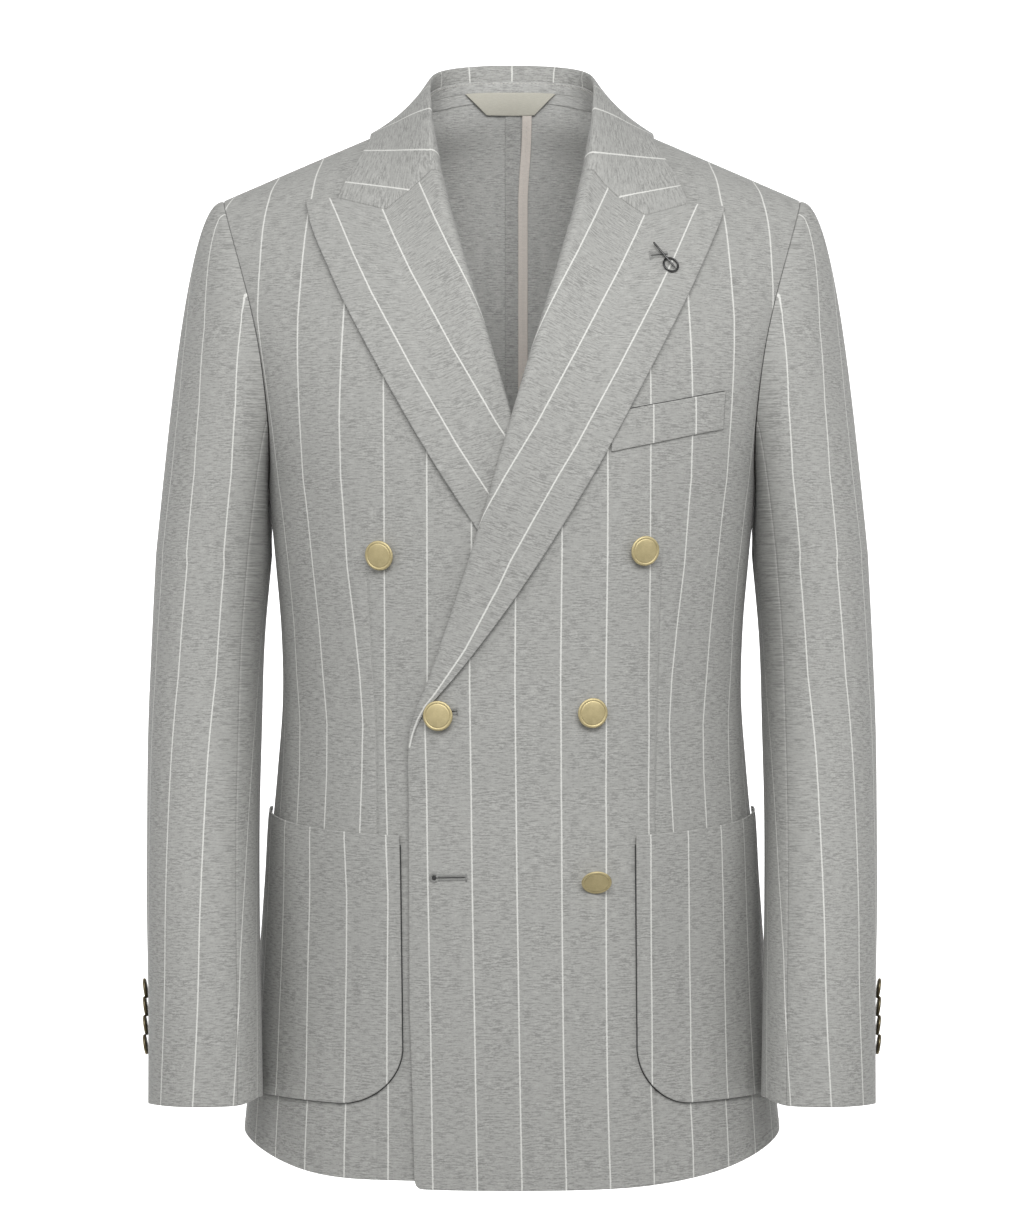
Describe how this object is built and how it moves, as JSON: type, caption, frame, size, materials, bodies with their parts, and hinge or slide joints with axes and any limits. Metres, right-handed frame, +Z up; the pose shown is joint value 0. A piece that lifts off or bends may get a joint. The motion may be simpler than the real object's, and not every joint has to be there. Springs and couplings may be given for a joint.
{
  "type": "double-breasted blazer",
  "caption": "Double-breasted jersey blazer with peak lapels, patch pockets and a chest welt, filled out as if worn, hollow, open at neck, hem and cuffs.",
  "frame": {"origin": "centre of the neck, about level with the neck ends of the shoulder seams, where the wearer's shoulders carry the garment", "axes": "+Z up, +X towards the wearer's left, the front faces -Y"},
  "size_m": [0.5044, 0.2805, 0.7773],
  "materials": {
    "striped_jersey": "mid-grey melange jersey with a pale pinstripe every 30 mm",
    "seam_binding": "pinkish beige binding tape",
    "label_satin": "bare woven satin",
    "matt_brass": "matt antique gold",
    "dark_bronze": "dark antique bronze",
    "dark_steel": "blackened"
  },
  "bodies": {
    "root": {"back_left": "striped_jersey", "back_right": "striped_jersey", "back_upper_left": "striped_jersey", "back_upper_right": "striped_jersey", "button_hip_left": "matt_brass", "button_top_left": "matt_brass", "button_top_right": "matt_brass", "button_waist_left": "matt_brass", "button_waist_right": "matt_brass", "chest_welt": "striped_jersey", "collar": "striped_jersey", "cuff_button_left_1": "dark_bronze", "cuff_button_left_2": "dark_bronze", "cuff_button_left_3": "dark_bronze", "cuff_button_left_4": "dark_bronze", "cuff_button_right_1": "dark_bronze", "cuff_button_right_2": "dark_bronze", "cuff_button_right_3": "dark_bronze", "cuff_button_right_4": "dark_bronze", "front_left": "striped_jersey", "front_right": "striped_jersey", "front_upper_left": "striped_jersey", "front_upper_right": "striped_jersey", "label": "label_satin", "lapel_left": "striped_jersey", "lapel_right": "striped_jersey", "neck_tape": "striped_jersey", "pin_ring": "dark_steel", "pin_stick": "dark_steel", "pocket_left": "striped_jersey", "pocket_right": "striped_jersey", "seam_tape": "seam_binding", "side_panel_left": "striped_jersey", "side_panel_right": "striped_jersey", "top_sleeve_left": "striped_jersey", "top_sleeve_right": "striped_jersey", "top_sleeve_upper_left": "striped_jersey", "top_sleeve_upper_right": "striped_jersey", "under_sleeve_left": "striped_jersey", "under_sleeve_right": "striped_jersey", "under_sleeve_upper_left": "striped_jersey", "under_sleeve_upper_right": "striped_jersey"}
  },
  "joints": []
}
